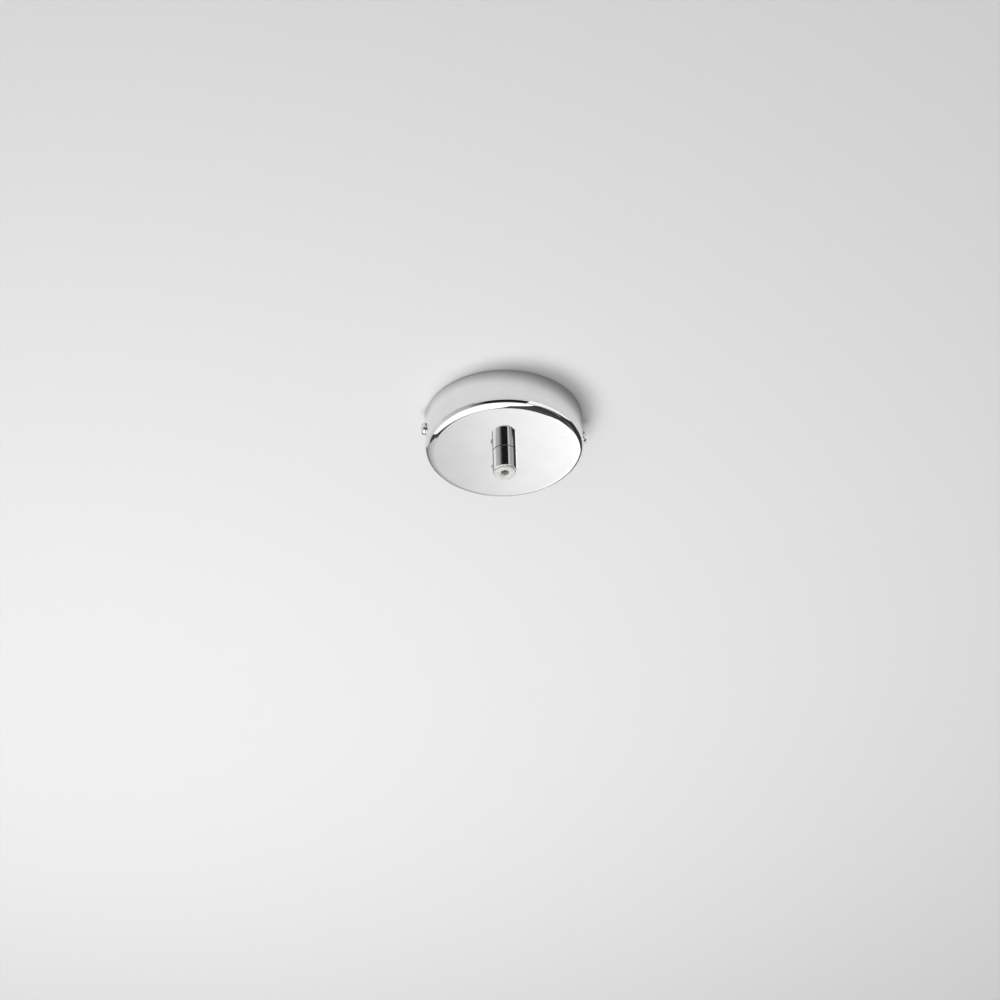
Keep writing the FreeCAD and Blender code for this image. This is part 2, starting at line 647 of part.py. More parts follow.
# Every object has to be sound before anything is written
for item in doc.Objects:
    if "Invalid" in item.State or "Error" in item.State:
        raise RuntimeError(f"{item.Label} did not build: {item.State}")
for piece in pieces:
    if piece.Shape.isNull() or not piece.Shape.isValid() or len(piece.Shape.Solids) != 1:
        raise RuntimeError(f"{piece.Label} is not one sound solid")

os.makedirs("parts", exist_ok=True)
for piece in pieces:
    piece.Shape.exportStep(f"parts/{piece.Label}.step")
    print(f"{piece.Label}: {piece.Shape.Volume:.1f} cubic mm")
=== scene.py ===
import json
import logging
import math
from collections.abc import Callable, Sequence
from dataclasses import dataclass
from enum import Enum
from typing import Any

import bpy
from mathutils import Matrix, Vector


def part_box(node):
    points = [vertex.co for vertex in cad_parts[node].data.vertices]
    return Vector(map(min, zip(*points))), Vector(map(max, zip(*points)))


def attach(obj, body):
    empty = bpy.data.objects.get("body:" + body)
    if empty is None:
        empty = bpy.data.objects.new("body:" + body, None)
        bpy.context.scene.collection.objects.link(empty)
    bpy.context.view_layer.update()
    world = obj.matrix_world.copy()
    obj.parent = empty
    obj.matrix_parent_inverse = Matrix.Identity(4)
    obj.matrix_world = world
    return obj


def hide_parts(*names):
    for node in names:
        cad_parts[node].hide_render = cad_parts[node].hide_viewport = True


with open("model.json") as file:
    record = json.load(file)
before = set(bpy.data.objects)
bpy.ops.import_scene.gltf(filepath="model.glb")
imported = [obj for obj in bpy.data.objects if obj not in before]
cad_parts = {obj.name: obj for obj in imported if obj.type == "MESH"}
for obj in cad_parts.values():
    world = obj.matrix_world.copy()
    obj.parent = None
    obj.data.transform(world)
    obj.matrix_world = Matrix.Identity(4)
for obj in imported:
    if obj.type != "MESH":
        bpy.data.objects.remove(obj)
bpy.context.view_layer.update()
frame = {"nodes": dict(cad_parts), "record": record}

LOG = logging.getLogger("ceiling_rose")

MM = 0.001
# Distances in metres within which vertices are merged, or count as the same place.
MERGE = 1e-7
TOUCH = 1e-6
# Angles in degrees below which faces count as one flat face, and above which they meet in an edge.
FLAT_ANGLE = 0.5
EDGE_ANGLE = 40.0
ROD_SEGMENTS = 64
RING_SEGMENTS = 128
IMAGE_SIDE = 1000
SENSOR_MM = 36.0


class Slot(Enum):
    """Material slots of the record."""

    CHROME = "polished_chrome"
    CHROME_SCREW = "chrome_screw"
    ZINC_SHEET = "zinc_plated_sheet"
    ZINC_HARDWARE = "zinc_plated_hardware"
    NYLON = "natural_nylon"
    POLYAMIDE = "white_polyamide"
    BRASS = "brass"


class Body(Enum):
    """Bodies that pieces ride on."""

    ROSE = "rose"
    LEFT_SCREW = "left_screw"
    RIGHT_SCREW = "right_screw"
    CLAMP = "clamp"


# Modelling helpers


def box_mm(node: str) -> tuple[Vector, Vector]:
    """Give a node's lowest and highest corners in millimetres.

    Args:
        node: name of a CAD node.

    Returns:
        The two corners.
    """
    low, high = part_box(node)
    return low / MM, high / MM


def activate(piece: bpy.types.Object) -> None:
    """Select one object alone and make it the active one.

    Args:
        piece: the object.
    """
    bpy.ops.object.select_all(action="DESELECT")
    piece.select_set(True)
    bpy.context.view_layer.objects.active = piece


def new_primitive(name: str, add: Callable[..., Any], **settings: Any) -> bpy.types.Object:
    """Add a primitive with nothing else selected.

    Args:
        name: name of the new object and its mesh.
        add: the operator that adds it.
        settings: the operator's settings.

    Returns:
        The new object.
    """
    bpy.ops.object.select_all(action="DESELECT")
    add(**settings)
    piece = bpy.context.object
    piece.name = name
    piece.data.name = name
    return piece


def select_vertices(piece: bpy.types.Object, wanted: Callable[[Vector], bool]) -> None:
    """Select, in edit mode, the vertices that a test picks out by their place.

    Args:
        piece: object in edit mode.
        wanted: test of a vertex's place in metres.
    """
    bpy.ops.mesh.select_mode(type="VERT")
    bpy.ops.mesh.select_all(action="DESELECT")
    bpy.ops.object.mode_set(mode="OBJECT")
    for vertex in piece.data.vertices:
        vertex.select = wanted(vertex.co)
    bpy.ops.object.mode_set(mode="EDIT")
    bpy.ops.mesh.select_mode(type="VERT")


def apply_modifier(piece: bpy.types.Object, kind: str, **settings: Any) -> None:
    """Add a modifier, set it up and apply it.

    Args:
        piece: object to change.
        kind: the modifier's type.
        settings: its settings.
    """
    activate(piece)
    modifier = piece.modifiers.new(kind.lower(), kind)
    for name, value in settings.items():
        setattr(modifier, name, value)
    bpy.ops.object.modifier_apply(modifier=modifier.name)


def settle(piece: bpy.types.Object, matrix: Matrix) -> None:
    """Put a piece in its place and move that place into its mesh.

    Args:
        piece: object at the origin.
        matrix: where it goes.
    """
    piece.matrix_world = matrix
    activate(piece)
    bpy.ops.object.transform_apply(location=True, rotation=True, scale=True)


def cut(piece: bpy.types.Object, tool: bpy.types.Object) -> None:
    """Cut a tool's shape out of a piece and throw the tool away."""
    apply_modifier(piece, "BOOLEAN", operation="DIFFERENCE", solver="EXACT", object=tool)
    bpy.data.objects.remove(tool)


def smooth(piece: bpy.types.Object, angle: float = 32.0) -> None:
    """Shade a piece smooth up to an angle, with flat faces kept flat.

    Args:
        piece: object to shade.
        angle: sharpest angle, in degrees, that still looks smooth.
    """
    activate(piece)
    bpy.ops.object.shade_smooth_by_angle(angle=math.radians(angle))
    apply_modifier(piece, "WEIGHTED_NORMAL", mode="FACE_AREA", weight=100, keep_sharp=True)


@dataclass(frozen=True)
class Corner:
    """One corner of a turned section, in millimetres.

    Attributes:
        radius: distance from the axis.
        height: place along the axis.
        rounding: radius of the rounded corner.
        steps: facets of the rounding.
        rings: extra rings on the stretch to the next corner.
    """

    radius: float
    height: float
    rounding: float = 0.0
    steps: int = 6
    rings: int = 0

    def point(self) -> Vector:
        """Give the corner's place in metres."""
        return Vector((self.radius, 0.0, self.height)) * MM


def draw_line(name: str, points: Sequence[Vector]) -> bpy.types.Object:
    """Draw a line from point to point, and stay in edit mode with all of it selected.

    Args:
        name: name of the line.
        points: its points in metres.

    Returns:
        The line.
    """
    line = new_primitive(name, bpy.ops.mesh.primitive_plane_add, size=MM)
    bpy.ops.object.mode_set(mode="EDIT")
    bpy.ops.mesh.select_mode(type="VERT")
    bpy.ops.mesh.select_all(action="SELECT")
    bpy.ops.mesh.merge(type="CENTER")
    bpy.ops.transform.translate(value=points[0])
    for start, end in zip(points, points[1:]):
        bpy.ops.mesh.extrude_vertices_move(TRANSFORM_OT_translate={"value": end - start})
    bpy.ops.mesh.select_all(action="SELECT")
    return line


def turn_section(name: str, corners: Sequence[Corner], closed: bool,
                 segments: int = 96) -> bpy.types.Object:
    """Turn a section about the Z axis, as on a lathe.

    Args:
        name: name of the piece.
        corners: the section's corners in order.
        closed: whether the section closes on itself, as it does round a bore.
        segments: facets round the axis.

    Returns:
        The turned piece.
    """
    points = [corner.point() for corner in corners]
    line = points + points[:1] if closed else points
    piece = draw_line(name, line)
    bpy.ops.mesh.remove_doubles(threshold=MERGE)
    for corner, start, end in zip(corners, line, line[1:]):
        if corner.rings:
            select_vertices(piece, lambda place: min((place - start).length,
                                                     (place - end).length) < TOUCH)
            bpy.ops.mesh.subdivide(number_cuts=corner.rings)
    count = len(points)
    for number, corner in enumerate(corners):
        if not corner.rounding:
            continue
        here = points[number]
        before = here - points[number - 1]
        after = points[(number + 1) % count] - here
        reach = corner.rounding * MM * math.tan(before.angle(after) / 2)
        select_vertices(piece, lambda place: (place - here).length < TOUCH)
        bpy.ops.mesh.bevel(offset=reach, segments=corner.steps, affect="VERTICES")
    bpy.ops.mesh.select_all(action="SELECT")
    bpy.ops.mesh.spin(steps=segments, angle=math.tau, center=(0, 0, 0), axis=(0, 0, 1),
                      use_auto_merge=True)
    bpy.ops.mesh.select_all(action="SELECT")
    bpy.ops.mesh.remove_doubles(threshold=MERGE)
    bpy.ops.mesh.normals_make_consistent(inside=False)
    bpy.ops.object.mode_set(mode="OBJECT")
    return piece


@dataclass(frozen=True)
class Thread:
    """A metric thread, in millimetres.

    Attributes:
        diameter: over the crests.
        pitch: rise of one turn.
        depth: from crest to root.
        flat: share of the pitch that is flat at the crest and at the root.
        rings_per_turn: mesh rings along one turn.
    """

    diameter: float
    pitch: float
    depth: float
    flat: float = 0.16
    rings_per_turn: int = 8

    def rings(self, length: float) -> int:
        """Give the number of rings that a threaded length needs."""
        return round(length / self.pitch * self.rings_per_turn)

    def wind(self, piece: bpy.types.Object, low: float, high: float) -> None:
        """Press the helical groove into a ringed shank on the Z axis.

        Args:
            piece: shank with rings along its length.
            low: height where the thread starts, in millimetres.
            high: height where it runs out.
        """
        for vertex in piece.data.vertices:
            across, along, height = vertex.co / MM
            radius = math.hypot(across, along)
            if radius < self.diameter / 2 - self.depth or not low <= height <= high:
                continue
            turns = height / self.pitch - math.atan2(along, across) / math.tau
            slope = abs(2.0 * (turns % 1.0) - 1.0)
            share = min(max((slope - self.flat) / (1.0 - 2.0 * self.flat), 0.0), 1.0)
            share *= min((high - height) / self.pitch, 1.0)
            wanted = min(radius, self.diameter / 2 - self.depth * share)
            vertex.co.x *= wanted / radius
            vertex.co.y *= wanted / radius


M4_THREAD = Thread(diameter=4.0, pitch=0.7, depth=0.42)
M10_FINE_THREAD = Thread(diameter=10.0, pitch=1.0, depth=0.6)


def rod(name: str, diameter: float, length: float) -> bpy.types.Object:
    """Make a plain rod about the origin along Z, to cut with.

    Args:
        name: name of the rod.
        diameter: in millimetres.
        length: in millimetres.

    Returns:
        The rod.
    """
    return new_primitive(name, bpy.ops.mesh.primitive_cylinder_add, vertices=ROD_SEGMENTS,
                         radius=diameter / 2 * MM, depth=length * MM)


def softened_copy(node: str, name: str, width: float) -> bpy.types.Object:
    """Copy a CAD node and break its sharp edges.

    Args:
        node: CAD node to copy.
        name: name of the copy.
        width: width of the broken edge in millimetres.

    Returns:
        The copy, with its normals weighted.
    """
    piece = bpy.data.objects.new(name, frame["nodes"][node].data.copy())
    piece.data.name = name
    bpy.context.scene.collection.objects.link(piece)
    activate(piece)
    bpy.ops.mesh.customdata_custom_splitnormals_clear()
    bpy.ops.object.mode_set(mode="EDIT")
    bpy.ops.mesh.select_all(action="SELECT")
    bpy.ops.mesh.remove_doubles(threshold=TOUCH)
    bpy.ops.mesh.dissolve_limited(angle_limit=math.radians(FLAT_ANGLE))
    bpy.ops.object.mode_set(mode="OBJECT")
    apply_modifier(piece, "BEVEL", width=width * MM, segments=2, limit_method="ANGLE",
                   angle_limit=math.radians(EDGE_ANGLE), use_clamp_overlap=True)
    smooth(piece)
    return piece


# Finishes


def linear(hex_colour: str) -> tuple[float, float, float, float]:
    """Turn an sRGB hex value into a linear colour.

    Args:
        hex_colour: colour as "#RRGGBB".

    Returns:
        Linear red, green, blue and an alpha of 1.
    """
    channels = [int(hex_colour[start:start + 2], 16) / 255 for start in (1, 3, 5)]
    red, green, blue = (
        value / 12.92 if value <= 0.04045 else ((value + 0.055) / 1.055) ** 2.4 for value in channels
    )
    return red, green, blue, 1.0


def grey(level: float) -> tuple[float, float, float, float]:
    """Give a neutral linear colour."""
    return level, level, level, 1.0


def add_node(tree: bpy.types.NodeTree, kind: str, settings: dict[str | int, Any] | None = None,
             links: dict[str | int, bpy.types.NodeSocket] | None = None) -> bpy.types.Node:
    """Add a node with its settings and links.

    Args:
        tree: node tree to add to.
        kind: the node's type.
        settings: properties by name, or input values by name or number.
        links: output sockets to link, by the input's name or number.

    Returns:
        The new node.
    """
    node = tree.nodes.new(kind)
    for key, value in (settings or {}).items():
        if isinstance(key, str) and hasattr(node, key):
            setattr(node, key, value)
        else:
            node.inputs[key].default_value = value
    for key, socket in (links or {}).items():
        tree.links.new(socket, node.inputs[key])
    return node


def new_material(name: str) -> tuple[bpy.types.Material, bpy.types.NodeTree]:
    """Start a material with an empty node tree.

    Args:
        name: the material's name.

    Returns:
        The material and its tree.
    """
    material = bpy.data.materials.new(name)
    material.use_nodes = True
    material.node_tree.nodes.clear()
    return material, material.node_tree


# Sockets of a Mix node that mixes colours, by number, because their names repeat.
MIX_A = 6
MIX_B = 7
MIX_RESULT = 2
# Where the product of two noises, and one noise, spread over most of their range.
MOTTLE_SPREAD = (0.12, 0.38)
NOISE_SPREAD = (0.3, 0.7)
POLYAMIDE_IOR = 1.53


@dataclass(frozen=True)
class MetalFinish:
    """A plated or bare metal surface.

    Attributes:
        name: the material's name.
        colour: the clean metal's colour.
        dull_colour: its colour in the hazy or dull places.
        smoothest: roughness of the clean places.
        roughest: roughness of the dull places.
        cloud_mm: size of the clean and dull places.
        grain_mm: width of the grain, which may be drawn coarser than the real one so that it shows.
        stretch: how many times longer the grain is along X, Y and Z.
        grain_height_mm: height of the grain, zero on a mirror.
    """

    name: str
    colour: str
    dull_colour: str
    smoothest: float
    roughest: float
    cloud_mm: float
    grain_mm: float
    stretch: tuple[float, float, float] = (1.0, 1.0, 1.0)
    grain_height_mm: float = 0.0

    def make(self) -> bpy.types.Material:
        """Build the material.

        Returns:
            The material.
        """
        material, tree = new_material(self.name)
        place = add_node(tree, "ShaderNodeTexCoord").outputs["Object"]
        cloud = add_node(tree, "ShaderNodeTexNoise", {"Scale": 1 / (self.cloud_mm * MM), "Detail": 3.0},
                         {"Vector": place})
        along = add_node(tree, "ShaderNodeMapping", {"Scale": [1 / length for length in self.stretch]},
                         {"Vector": place})
        grain = add_node(tree, "ShaderNodeTexNoise", {"Scale": 1 / (self.grain_mm * MM), "Detail": 4.0},
                         {"Vector": along.outputs[0]})
        mottle = add_node(tree, "ShaderNodeMath", {"operation": "MULTIPLY"},
                          {0: cloud.outputs["Fac"], 1: grain.outputs["Fac"]})
        least, most = MOTTLE_SPREAD
        dullness = add_node(tree, "ShaderNodeMapRange", {"From Min": least, "From Max": most},
                            {"Value": mottle.outputs[0]})
        roughness = add_node(tree, "ShaderNodeMapRange", {
            "To Min": self.smoothest, "To Max": self.roughest,
        }, {"Value": dullness.outputs[0]})
        tint = add_node(tree, "ShaderNodeMix", {
            "data_type": "RGBA", MIX_A: linear(self.colour), MIX_B: linear(self.dull_colour),
        }, {0: dullness.outputs[0]})
        shader = add_node(tree, "ShaderNodeBsdfPrincipled", {"Metallic": 1.0}, {
            "Base Color": tint.outputs[MIX_RESULT], "Roughness": roughness.outputs[0],
        })
        if self.grain_height_mm:
            bump = add_node(tree, "ShaderNodeBump", {"Distance": self.grain_height_mm * MM},
                            {"Height": grain.outputs["Fac"]})
            tree.links.new(bump.outputs[0], shader.inputs["Normal"])
        add_node(tree, "ShaderNodeOutputMaterial", {}, {"Surface": shader.outputs[0]})
        return material


@dataclass(frozen=True)
class MouldedFinish:
    """A moulded plastic surface.

    Attributes:
        name: the material's name.
        colour: the plastic's colour.
        shade_colour: its colour where the melt ran slower.
        smoothest: roughness of the glossier places.
        roughest: roughness of the duller places.
        flow_mm: size of the flow marks.
        grain_mm: size of the mould's grain.
        grain_height_mm: its height.
        glow: share of light that goes in and comes out again.
        glow_mm: how far that light goes.
    """

    name: str
    colour: str
    shade_colour: str
    smoothest: float
    roughest: float
    flow_mm: float
    grain_mm: float
    grain_height_mm: float
    glow: float
    glow_mm: float

    def make(self) -> bpy.types.Material:
        """Build the material.

        Returns:
            The material.
        """
        material, tree = new_material(self.name)
        place = add_node(tree, "ShaderNodeTexCoord").outputs["Object"]
        flow = add_node(tree, "ShaderNodeTexNoise", {
            "Scale": 1 / (self.flow_mm * MM), "Detail": 2.0, "Distortion": 0.6,
        }, {"Vector": place})
        grain = add_node(tree, "ShaderNodeTexNoise", {"Scale": 1 / (self.grain_mm * MM), "Detail": 3.0},
                         {"Vector": place})
        tint = add_node(tree, "ShaderNodeMix", {
            "data_type": "RGBA", MIX_A: linear(self.colour), MIX_B: linear(self.shade_colour),
        }, {0: flow.outputs["Fac"]})
        least, most = NOISE_SPREAD
        roughness = add_node(tree, "ShaderNodeMapRange", {
            "From Min": least, "From Max": most, "To Min": self.smoothest, "To Max": self.roughest,
        }, {"Value": grain.outputs["Fac"]})
        bump = add_node(tree, "ShaderNodeBump", {"Distance": self.grain_height_mm * MM},
                        {"Height": grain.outputs["Fac"]})
        shader = add_node(tree, "ShaderNodeBsdfPrincipled", {
            "IOR": POLYAMIDE_IOR, "Subsurface Weight": self.glow,
            "Subsurface Scale": self.glow_mm * MM, "Subsurface Radius": (1.0, 1.0, 0.9),
        }, {
            "Base Color": tint.outputs[MIX_RESULT], "Roughness": roughness.outputs[0],
            "Normal": bump.outputs[0],
        })
        add_node(tree, "ShaderNodeOutputMaterial", {}, {"Surface": shader.outputs[0]})
        return material


# Mirror chrome on drawn sheet: near-perfect reflections with a faint polishing haze in patches.
POLISHED_CHROME = MetalFinish("polished_chrome_plate", "#EEEEEF", "#E7E7E8", 0.015, 0.035, 16.0, 0.6)
# Chrome on a headed screw: bright, but softer than the cup, with the marks of the heading die.
SCREW_CHROME = MetalFinish("bright_chrome_screw", "#EAEAEB", "#D8D9DA", 0.06, 0.12, 2.5, 0.25,
                           grain_height_mm=0.002)
# Zinc on rolled strip: a cool satin sheen in long streaks along the strip.
ZINC_SHEET = MetalFinish("zinc_plated_strip", "#C9CDD1", "#A9AEB4", 0.24, 0.42, 9.0, 0.35,
                         (14.0, 1.0, 1.0), 0.004)
# Zinc on turned and stamped steel: brighter, with fine tool marks round the pieces.
ZINC_HARDWARE = MetalFinish("zinc_plated_steel", "#C4C7CA", "#A2A6AB", 0.20, 0.36, 4.0, 0.22,
                            (3.0, 3.0, 1.0), 0.003)
# Machined brass: warm yellow, with fine tool marks and a little tarnish.
MACHINED_BRASS = MetalFinish("machined_brass", "#D9B56A", "#B08D4C", 0.18, 0.34, 3.0, 0.2,
                             (3.0, 3.0, 1.0), 0.003)
# Natural nylon: a milky off-white that lets some light in, with a satin skin.
NATURAL_NYLON = MouldedFinish("natural_nylon", "#DADAD8", "#CFCFCD", 0.28, 0.40, 4.0, 0.18, 0.003,
                              0.15, 0.8)
# White polyamide: an even warm white with a fine spark-eroded mould grain.
WHITE_POLYAMIDE = MouldedFinish("white_polyamide", "#E4E2DA", "#D8D5CB", 0.42, 0.58, 8.0, 0.22, 0.008,
                                0.12, 0.8)


@dataclass
class Finishes:
    """The made materials, one for each slot of the record."""

    made: dict[Slot, bpy.types.Material]

    @classmethod
    def make_all(cls) -> "Finishes":
        """Build every finish once."""
        return cls({
            Slot.CHROME: POLISHED_CHROME.make(),
            Slot.CHROME_SCREW: SCREW_CHROME.make(),
            Slot.ZINC_SHEET: ZINC_SHEET.make(),
            Slot.ZINC_HARDWARE: ZINC_HARDWARE.make(),
            Slot.NYLON: NATURAL_NYLON.make(),
            Slot.POLYAMIDE: WHITE_POLYAMIDE.make(),
            Slot.BRASS: MACHINED_BRASS.make(),
        })

    def dress(self, piece: bpy.types.Object, slot: Slot) -> None:
        """Give a piece the finish of a slot as its only material."""
        piece.data.materials.clear()
        piece.data.materials.append(self.made[slot])

    def fit(self, piece: bpy.types.Object, body: Body, slot: Slot, *nodes: str) -> None:
        """Dress a new piece and set it on its body in place of CAD nodes.

        Args:
            piece: the new piece.
            body: the body that it rides on.
            slot: its finish.
            nodes: the CAD nodes that it stands for.
        """
        self.dress(piece, slot)
        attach(piece, body.value)
        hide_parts(*nodes)
        LOG.info("%s: %d faces, %s, on %s", piece.name, len(piece.data.polygons), slot.value, body.value)


# The rose


@dataclass
class Cup:
    """The drawn cup: rounded lower edge, cord hole and two side-screw holes, in millimetres."""

    finishes: Finishes
    wall: float = 1.0
    edge_radius: float = 5.5
    rim_rounding: float = 0.25
    hole_rounding: float = 0.2
    cord_hole_diameter: float = 10.5
    side_hole_diameter: float = 4.5
    drill_overrun: float = 5.0
    segments: int = 288
    edge_steps: int = 24

    def build(self) -> None:
        """Turn the cup and drill its sides."""
        low, high = box_mm("canopy")
        outer = high.x
        inner = outer - self.wall
        floor = low.z + self.wall
        hole = self.cord_hole_diameter / 2
        cup = turn_section("canopy_shell", [
            Corner(hole, low.z, self.hole_rounding, steps=4),
            Corner(outer, low.z, self.edge_radius, self.edge_steps),
            Corner(outer, high.z, self.rim_rounding, steps=4),
            Corner(inner, high.z, self.rim_rounding, steps=4),
            Corner(inner, floor, self.edge_radius - self.wall, self.edge_steps),
            Corner(hole, floor, self.hole_rounding, steps=4),
        ], closed=True, segments=self.segments)
        screw_low, screw_high = box_mm("side_screw_right")
        drill = rod("side_drill", self.side_hole_diameter, 2 * (outer + self.drill_overrun))
        height = (screw_low.z + screw_high.z) / 2
        settle(drill, Matrix.Translation((0, 0, height * MM)) @ Matrix.Rotation(math.pi / 2, 4, "Y"))
        cut(cup, drill)
        smooth(cup)
        self.finishes.fit(cup, Body.ROSE, Slot.CHROME, "canopy")


@dataclass
class CordGrip:
    """The turned sleeve under the cup, its bush and the screw that clamps the flex, in millimetres."""

    finishes: Finishes
    edge_radius: float = 0.6
    broken_edge: float = 0.2
    seam_height: float = 0.28
    seam_depth: float = 0.6
    thread_diameter: float = 10.1
    thread_depth: float = 7.0
    bore_diameter: float = 7.0
    seat_clearance: float = 0.03
    clamp_hole_diameter: float = 4.1
    plug_diameter: float = 8.5
    bush_bore: float = 5.0
    bush_mouth_diameter: float = 8.2
    bush_mouth_depth: float = 1.0
    nose_rounding: float = 1.15
    bush_edge: float = 0.2
    clamp_tip_chamfer: float = 0.5
    clamp_edge: float = 0.5
    clamp_plain_end: float = 0.9
    slot_width: float = 0.8
    slot_depth: float = 1.0
    clamp_angle: float = 155.0
    drill_overrun: float = 4.0
    bush_smooth_angle: float = 40.0
    sleeve_segments: int = 160
    bush_segments: int = 128
    clamp_segments: int = 64

    def build(self) -> None:
        """Make the sleeve, the bush and the clamp screw."""
        low, high = box_mm("cord_grip_sleeve")
        screw_low, screw_high = box_mm("clamp_screw")
        clamp_height = (screw_low.z + screw_high.z) / 2
        self.sleeve(low.z, high.z, high.x, clamp_height)
        self.bush(low.z)
        self.clamp_screw(clamp_height)

    def clamp_frame(self, height: float) -> Matrix:
        """Give the clamp screw's frame, with +Z pointing outwards along its axis."""
        return (Matrix.Translation((0, 0, height * MM))
                @ Matrix.Rotation(math.radians(self.clamp_angle), 4, "Z")
                @ Matrix.Rotation(math.pi / 2, 4, "Y"))

    def sleeve(self, low: float, high: float, outer: float, clamp_height: float) -> None:
        """Turn the sleeve and drill it for the clamp screw.

        Args:
            low: height of its lower end.
            high: height of its upper end.
            outer: its outer radius.
            clamp_height: height of the clamp screw's axis.
        """
        _, bush_high = box_mm("cord_bush")
        seat = self.plug_diameter / 2 + self.seat_clearance
        bore = self.bore_diameter / 2
        tapped = self.thread_diameter / 2
        step = high - self.thread_depth
        sleeve = turn_section("grip_sleeve", [
            Corner(seat, low, self.broken_edge / 2, steps=3),
            Corner(outer, low, self.edge_radius, steps=8),
            Corner(outer, high - self.seam_height, self.broken_edge / 4, steps=2),
            Corner(outer - self.seam_depth, high - self.seam_height),
            Corner(outer - self.seam_depth, high),
            Corner(tapped, high, self.broken_edge, steps=4),
            Corner(tapped, step),
            Corner(bore, step),
            Corner(bore, bush_high.z),
            Corner(seat, bush_high.z),
        ], closed=True, segments=self.sleeve_segments)
        drill_length = outer + self.drill_overrun
        drill = rod("clamp_drill", self.clamp_hole_diameter, drill_length)
        reach = Matrix.Translation((0, 0, drill_length / 2 * MM))
        settle(drill, self.clamp_frame(clamp_height) @ reach)
        cut(sleeve, drill)
        smooth(sleeve)
        self.finishes.fit(sleeve, Body.ROSE, Slot.CHROME, "cord_grip_sleeve")

    def bush(self, seat: float) -> None:
        """Turn the bush: a plug, and below it a rounded nose with a wide mouth.

        Args:
            seat: height of the sleeve's end, which the nose bears on.
        """
        low, high = box_mm("cord_bush")
        bore = self.bush_bore / 2
        plug = self.plug_diameter / 2
        bush = turn_section("grip_bush", [
            Corner(bore, low.z + self.bush_mouth_depth, 2 * self.bush_edge, steps=5),
            Corner(self.bush_mouth_diameter / 2, low.z, self.bush_edge / 2, steps=3),
            Corner(high.x, low.z, self.nose_rounding, steps=10),
            Corner(high.x, seat),
            Corner(plug, seat),
            Corner(plug, high.z, self.bush_edge, steps=4),
            Corner(bore, high.z, self.bush_edge, steps=4),
        ], closed=True, segments=self.bush_segments)
        smooth(bush, self.bush_smooth_angle)
        self.finishes.fit(bush, Body.ROSE, Slot.NYLON, "cord_bush")

    def clamp_screw(self, height: float) -> None:
        """Turn the clamp screw, wind its thread, slot it and set it in the sleeve.

        Args:
            height: height of its axis.
        """
        inside = self.clamp_frame(height).inverted()
        solid = frame["nodes"]["clamp_screw"].data
        along = [(inside @ vertex.co).z / MM for vertex in solid.vertices]
        tip, end = min(along), max(along)
        radius = M4_THREAD.diameter / 2
        thread_end = end - self.clamp_plain_end
        screw = turn_section("grip_clamp_screw", [
            Corner(0.0, tip),
            Corner(radius - self.clamp_tip_chamfer, tip),
            Corner(radius, tip + self.clamp_tip_chamfer, rings=M4_THREAD.rings(end - tip)),
            Corner(radius, end, self.clamp_edge, steps=4),
            Corner(0.0, end),
        ], closed=False, segments=self.clamp_segments)
        M4_THREAD.wind(screw, tip, thread_end)
        saw = new_primitive("slot_saw", bpy.ops.mesh.primitive_cube_add, size=MM)
        bpy.ops.transform.resize(value=(2 * M4_THREAD.diameter, self.slot_width, 2 * self.slot_depth))
        settle(saw, Matrix.Translation((0, 0, end * MM)) @ saw.matrix_world)
        cut(screw, saw)
        settle(screw, self.clamp_frame(height))
        smooth(screw)
        self.finishes.fit(screw, Body.CLAMP, Slot.NYLON, "clamp_screw")


